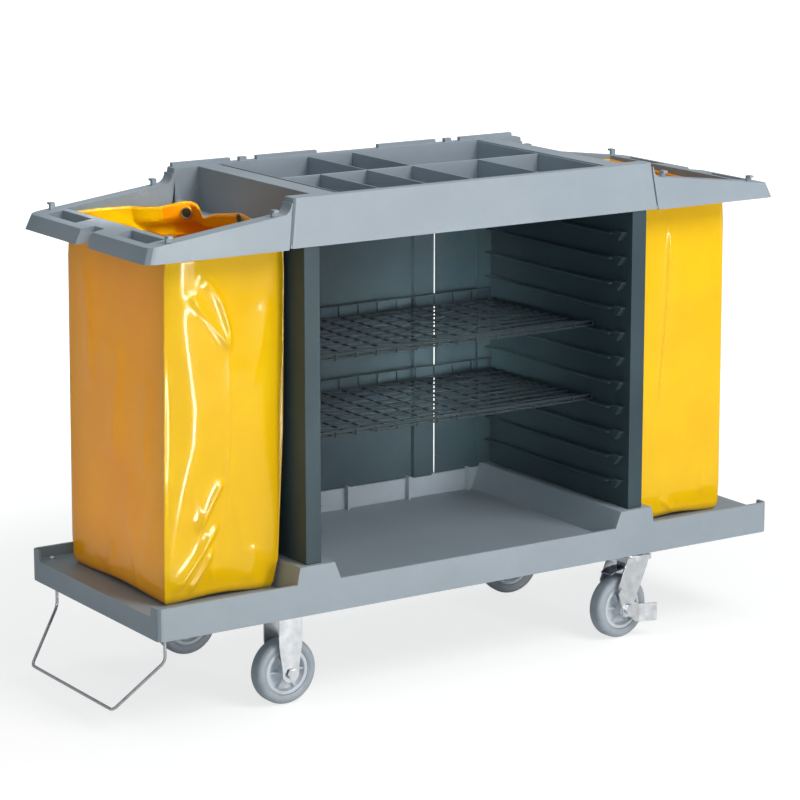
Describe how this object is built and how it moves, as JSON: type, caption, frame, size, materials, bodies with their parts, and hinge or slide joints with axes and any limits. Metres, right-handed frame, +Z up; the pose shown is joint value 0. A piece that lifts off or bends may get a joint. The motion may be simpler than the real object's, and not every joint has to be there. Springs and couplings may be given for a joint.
{
  "type": "housekeeping cart",
  "caption": "Long hotel housekeeping cart: open shelf cabinet under a divided organizer deck, a yellow bag hung at each end, rolling on two fixed and two braked swivel casters.",
  "frame": {"origin": "on the floor under the middle of the bounding box", "axes": "+X along the cart away from the wire rest, +Y to the closed back, +Z up"},
  "size_m": [1.4843, 0.508, 0.9775],
  "materials": {
    "light_plastic": "light grey moulded plastic, fine grain",
    "dark_plastic": "dark blue-grey moulded plastic",
    "yellow_vinyl": "glossy yellow vinyl-coated fabric",
    "dark_wire": "dark coated steel wire",
    "bright_wire": "bright plated steel wire",
    "zinc_steel": "zinc-plated pressed steel",
    "hub_plastic": "grey moulded plastic",
    "grey_rubber": "grey non-marking rubber"
  },
  "bodies": {
    "cart": {"back_panel_center": "dark_plastic", "back_panel_left": "dark_plastic", "back_panel_right": "dark_plastic", "bag_left": "yellow_vinyl", "bag_right": "yellow_vinyl", "base_tray": "light_plastic", "caster_left_back_axle": "zinc_steel", "caster_left_back_bolt_1": "zinc_steel", "caster_left_back_bolt_2": "zinc_steel", "caster_left_back_bolt_3": "zinc_steel", "caster_left_back_bolt_4": "zinc_steel", "caster_left_back_fork": "zinc_steel", "caster_left_front_axle": "zinc_steel", "caster_left_front_bolt_1": "zinc_steel", "caster_left_front_bolt_2": "zinc_steel", "caster_left_front_bolt_3": "zinc_steel", "caster_left_front_bolt_4": "zinc_steel", "caster_left_front_fork": "zinc_steel", "caster_right_back_bolt_1": "zinc_steel", "caster_right_back_bolt_2": "zinc_steel", "caster_right_back_bolt_3": "zinc_steel", "caster_right_back_bolt_4": "zinc_steel", "caster_right_back_plate": "zinc_steel", "caster_right_front_bolt_1": "zinc_steel", "caster_right_front_bolt_2": "zinc_steel", "caster_right_front_bolt_3": "zinc_steel", "caster_right_front_bolt_4": "zinc_steel", "caster_right_front_plate": "zinc_steel", "organizer_dividers": "light_plastic", "organizer_tray": "light_plastic", "rest_clip_back": "zinc_steel", "rest_clip_front": "zinc_steel", "rest_screw_back": "zinc_steel", "rest_screw_front": "zinc_steel", "side_panel_left": "dark_plastic", "side_panel_right": "dark_plastic", "top_deck": "light_plastic", "wing_left": "light_plastic", "wing_right": "light_plastic"},
    "shelf_upper": {"wire_shelf_upper": "dark_wire"},
    "shelf_lower": {"wire_shelf_lower": "dark_wire"},
    "rest": {"wire_rest": "bright_wire"},
    "wheel_left_front": {"caster_left_front_tyre": "grey_rubber", "caster_left_front_hub": "hub_plastic"},
    "swivel_right_front": {"caster_right_front_fork": "zinc_steel", "caster_right_front_axle": "zinc_steel", "caster_right_front_brake_leaf": "zinc_steel"},
    "wheel_right_front": {"caster_right_front_tyre": "grey_rubber", "caster_right_front_hub": "hub_plastic"},
    "brake_right_front": {"caster_right_front_brake_lever": "zinc_steel"},
    "wheel_left_back": {"caster_left_back_tyre": "grey_rubber", "caster_left_back_hub": "hub_plastic"},
    "swivel_right_back": {"caster_right_back_fork": "zinc_steel", "caster_right_back_axle": "zinc_steel", "caster_right_back_brake_leaf": "zinc_steel"},
    "wheel_right_back": {"caster_right_back_tyre": "grey_rubber", "caster_right_back_hub": "hub_plastic"},
    "brake_right_back": {"caster_right_back_brake_lever": "zinc_steel"}
  },
  "joints": [
    {"name": "upper_shelf_slide", "type": "slide", "parent": "cart", "child": "shelf_upper", "axis": [0, -1, 0], "range_m": [0, 0.058]},
    {"name": "lower_shelf_slide", "type": "slide", "parent": "cart", "child": "shelf_lower", "axis": [0, -1, 0], "range_m": [0, 0.058]},
    {"name": "wire_rest_swing", "type": "hinge", "parent": "cart", "child": "rest", "pos_m": [-0.65625, 0, 0.2085], "axis": [0, 1, 0], "range_deg": [0, 38]},
    {"name": "wheel_left_front_spin", "type": "hinge", "parent": "cart", "child": "wheel_left_front", "pos_m": [-0.38825, -0.188, 0.0645], "axis": [0, 1, 0], "continuous": true},
    {"name": "swivel_right_front_turn", "type": "hinge", "parent": "cart", "child": "swivel_right_front", "pos_m": [0.43375, -0.188, 0.165], "axis": [0, 0, 1], "continuous": true},
    {"name": "wheel_right_front_spin", "type": "hinge", "parent": "swivel_right_front", "child": "wheel_right_front", "pos_m": [0.39988, -0.19096, 0.0645], "axis": [-0.0872, 0.9962, 0], "continuous": true},
    {"name": "brake_right_front_tilt", "type": "hinge", "parent": "swivel_right_front", "child": "brake_right_front", "pos_m": [0.39988, -0.19096, 0.0645], "axis": [-0.0872, 0.9962, 0], "range_deg": [-25, 0]},
    {"name": "wheel_left_back_spin", "type": "hinge", "parent": "cart", "child": "wheel_left_back", "pos_m": [-0.38825, 0.188, 0.0645], "axis": [0, 1, 0], "continuous": true},
    {"name": "swivel_right_back_turn", "type": "hinge", "parent": "cart", "child": "swivel_right_back", "pos_m": [0.43375, 0.188, 0.165], "axis": [0, 0, 1], "continuous": true},
    {"name": "wheel_right_back_spin", "type": "hinge", "parent": "swivel_right_back", "child": "wheel_right_back", "pos_m": [0.40008, 0.19273, 0.0645], "axis": [0.1392, 0.9903, 0], "continuous": true},
    {"name": "brake_right_back_tilt", "type": "hinge", "parent": "swivel_right_back", "child": "brake_right_back", "pos_m": [0.40008, 0.19273, 0.0645], "axis": [0.1392, 0.9903, 0], "range_deg": [-25, 0]}
  ]
}
